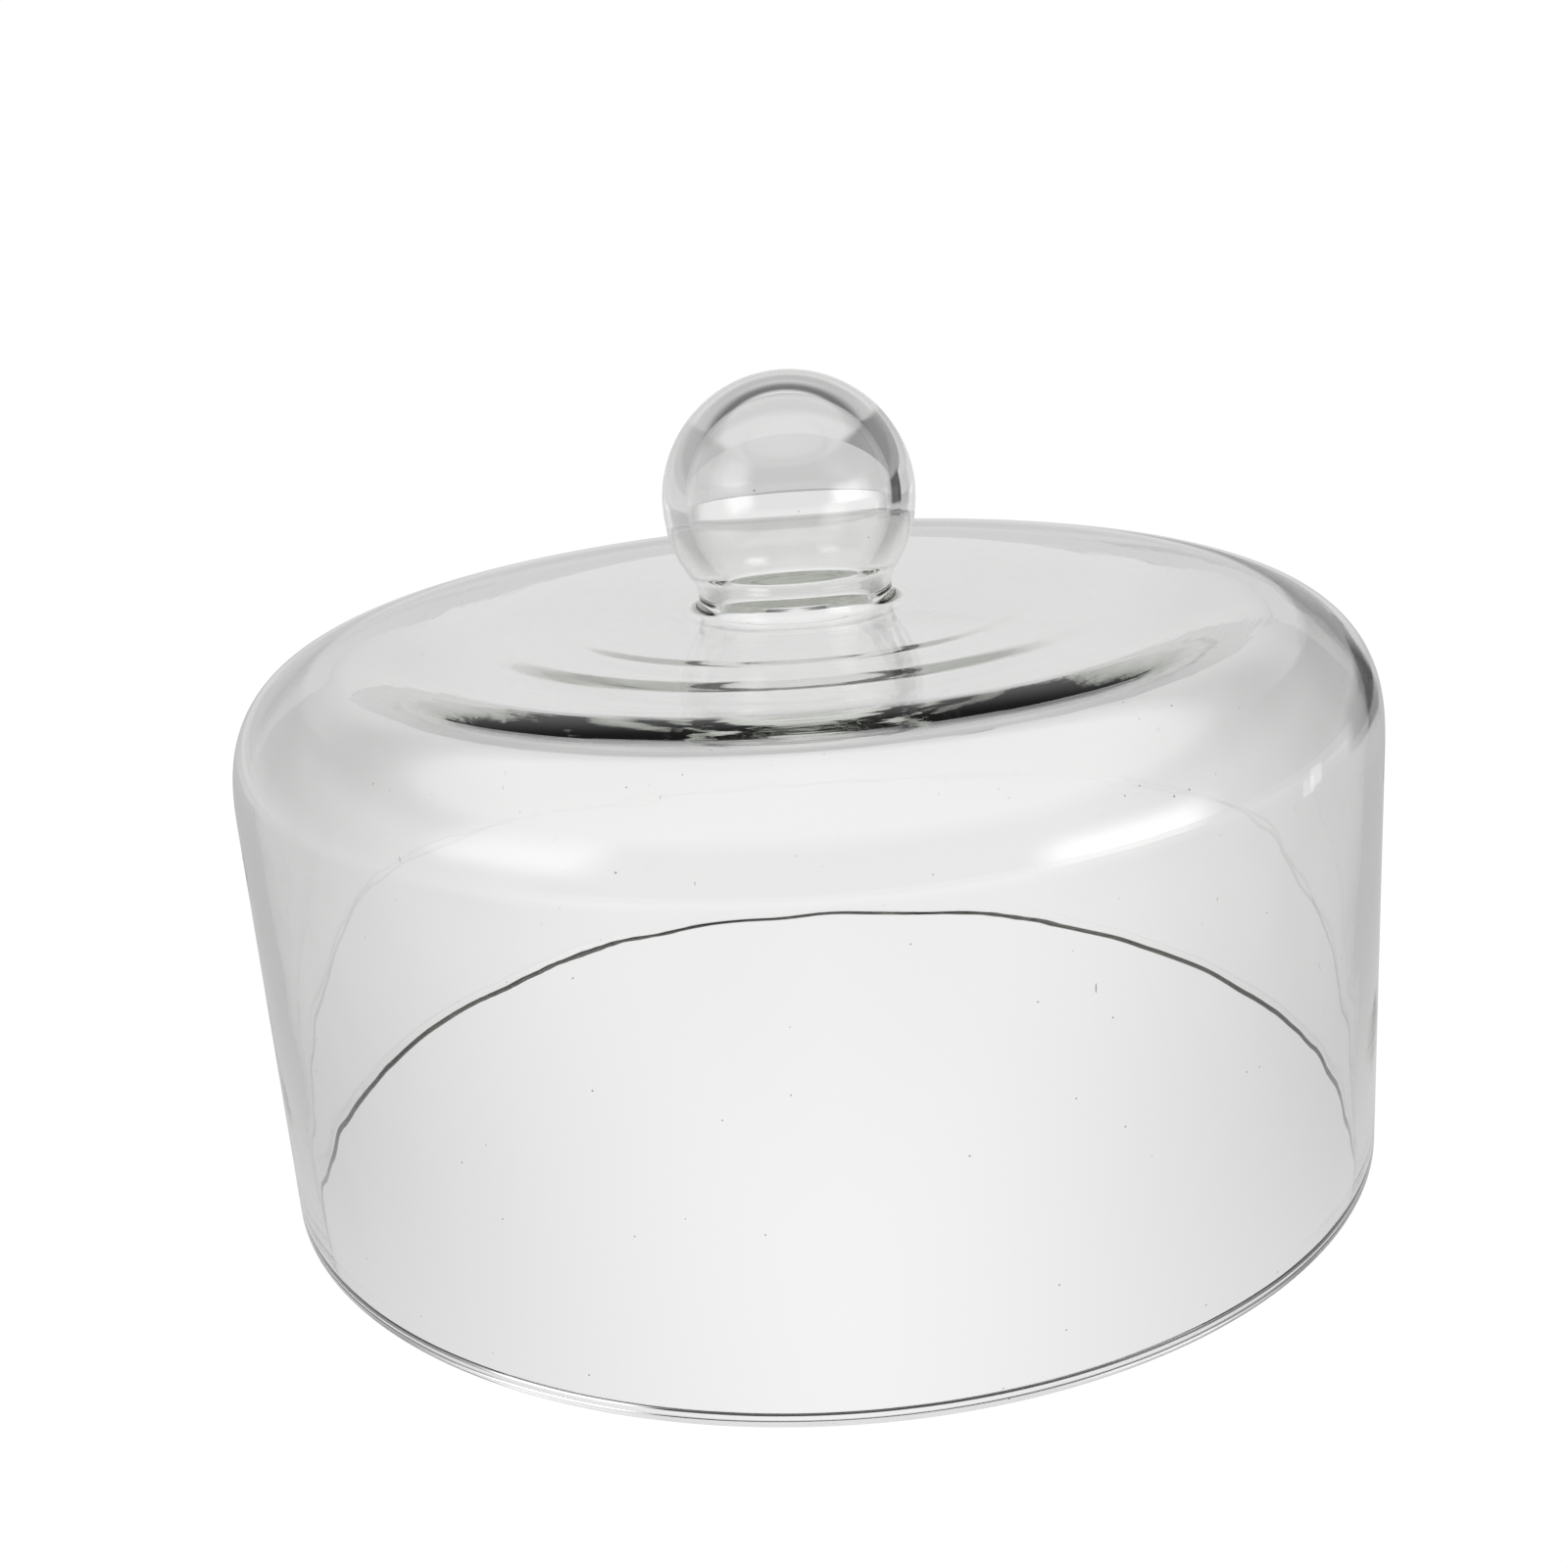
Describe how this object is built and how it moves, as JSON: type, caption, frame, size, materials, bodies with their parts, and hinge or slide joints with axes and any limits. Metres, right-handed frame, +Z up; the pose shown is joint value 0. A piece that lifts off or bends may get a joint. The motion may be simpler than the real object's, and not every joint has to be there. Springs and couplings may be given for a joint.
{
  "type": "glass display dome",
  "caption": "Clear glass display dome: a straight-walled bell with a round shoulder, flat crown and hollow ball knob, open below and standing on a rounded rim.",
  "frame": {"origin": "centre of the resting plane, on the dome's axis", "axes": "+Z up along the dome's axis, from the open mouth to the knob; the dome is round, so X and Y are alike"},
  "size_m": [0.25, 0.25, 0.1737],
  "materials": {
    "dome_glass": "clear blown glass, fire-bright, faint ripples",
    "lip_glass": "clear glass, edge melted round in the flame",
    "knob_glass": "clear blown glass, smooth",
    "seal_glass": "clear glass, hot-fused and tooled"
  },
  "bodies": {
    "root": {"dome_shell": "dome_glass", "rim_lip": "lip_glass", "knob": "knob_glass", "neck_seal": "seal_glass"}
  },
  "joints": []
}
